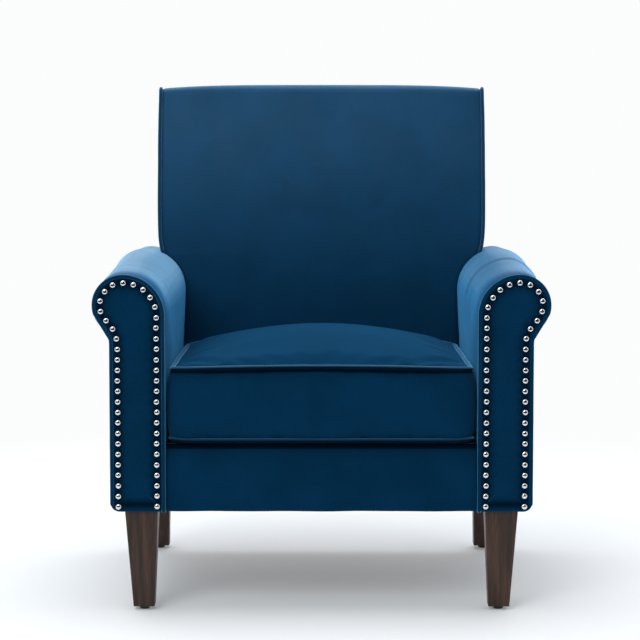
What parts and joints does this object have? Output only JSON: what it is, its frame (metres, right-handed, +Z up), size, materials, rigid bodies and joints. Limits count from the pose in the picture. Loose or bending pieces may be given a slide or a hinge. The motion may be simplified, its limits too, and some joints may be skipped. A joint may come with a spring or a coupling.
{
  "type": "upholstered armchair",
  "caption": "Roll-arm upholstered armchair in blue velvet with a raked tight back, a loose boxed seat cushion, nail-trimmed scroll arm fronts and tapered wooden legs.",
  "frame": {"origin": "on the floor, under the middle of the chair's overall box", "axes": "+Z up, -Y the front of the chair, +X to the right of someone looking at its front; symmetric about X = 0 apart from the zip's slider and the springs' bends"},
  "size_m": [0.771, 0.748, 0.87],
  "materials": {
    "velvet": "matte",
    "velvet_piping": "matte",
    "walnut_legs": "satin",
    "black_plastic": "matte",
    "zinc_steel": "satin",
    "pine_frame": "matte",
    "plywood": "matte",
    "foam": "matte",
    "wadding": "matte",
    "black_cloth": "matte",
    "zip_metal": "satin",
    "chrome_nails": "polished"
  },
  "bodies": {
    "chair": {"leg_front_left": "walnut_legs", "leg_front_right": "walnut_legs", "leg_rear_left": "walnut_legs", "leg_rear_right": "walnut_legs", "foot_glides": "black_plastic", "leg_hanger_bolts": "zinc_steel", "leg_tee_nuts": "zinc_steel", "seat_front_rail": "pine_frame", "seat_rear_rail": "pine_frame", "seat_side_rail_left": "pine_frame", "seat_side_rail_right": "pine_frame", "seat_corner_blocks": "pine_frame", "assembly_bolts": "zinc_steel", "sinuous_springs": "zinc_steel", "spring_clips": "zinc_steel", "deck_pad": "wadding", "deck_cover": "black_cloth", "apron_pad": "foam", "apron_cover": "velvet", "dust_cover": "black_cloth", "arm_board_left": "plywood", "arm_board_right": "plywood", "arm_front_pad_left": "wadding", "arm_front_pad_right": "wadding", "arm_front_left": "velvet", "arm_front_right": "velvet", "arm_piping_left": "velvet_piping", "arm_piping_right": "velvet_piping", "arm_nails_left": "chrome_nails", "arm_nails_right": "chrome_nails", "arm_padding_left": "foam", "arm_padding_right": "foam", "arm_cover_left": "velvet", "arm_cover_right": "velvet", "arm_frame_left": "pine_frame", "arm_frame_right": "pine_frame", "arm_top_rail_left": "pine_frame", "arm_top_rail_right": "pine_frame", "arm_rear_cap_left": "velvet", "arm_rear_cap_right": "velvet", "back_posts": "pine_frame", "back_rails": "pine_frame", "back_wing_frames": "pine_frame", "back_webbing": "black_cloth", "back_foam": "foam", "back_cover": "velvet", "back_side_left": "velvet", "back_side_right": "velvet", "back_piping": "velvet_piping", "outside_back": "velvet"},
    "cushion": {"cushion_core": "foam", "cushion_top": "velvet", "cushion_bottom": "velvet", "cushion_boxing": "velvet", "cushion_piping_top": "velvet_piping", "cushion_piping_bottom": "velvet_piping", "zip_tape": "black_cloth"},
    "zip_slider": {"zip_slider": "zip_metal"},
    "zip_pull": {"zip_pull": "zip_metal"}
  },
  "joints": [
    {"name": "cushion_slide", "type": "slide", "parent": "chair", "child": "cushion", "axis": [0, -0.9997, 0.0244], "range_m": [0, 0.3]},
    {"name": "zip_slide", "type": "slide", "parent": "cushion", "child": "zip_slider", "axis": [-1, 0, 0], "range_m": [0, 0.39]},
    {"name": "zip_pull_swing", "type": "hinge", "parent": "zip_slider", "child": "zip_pull", "pos_m": [0.195, 0.14024, 0.32898], "axis": [1, 0, 0], "range_deg": [0, 8]}
  ]
}
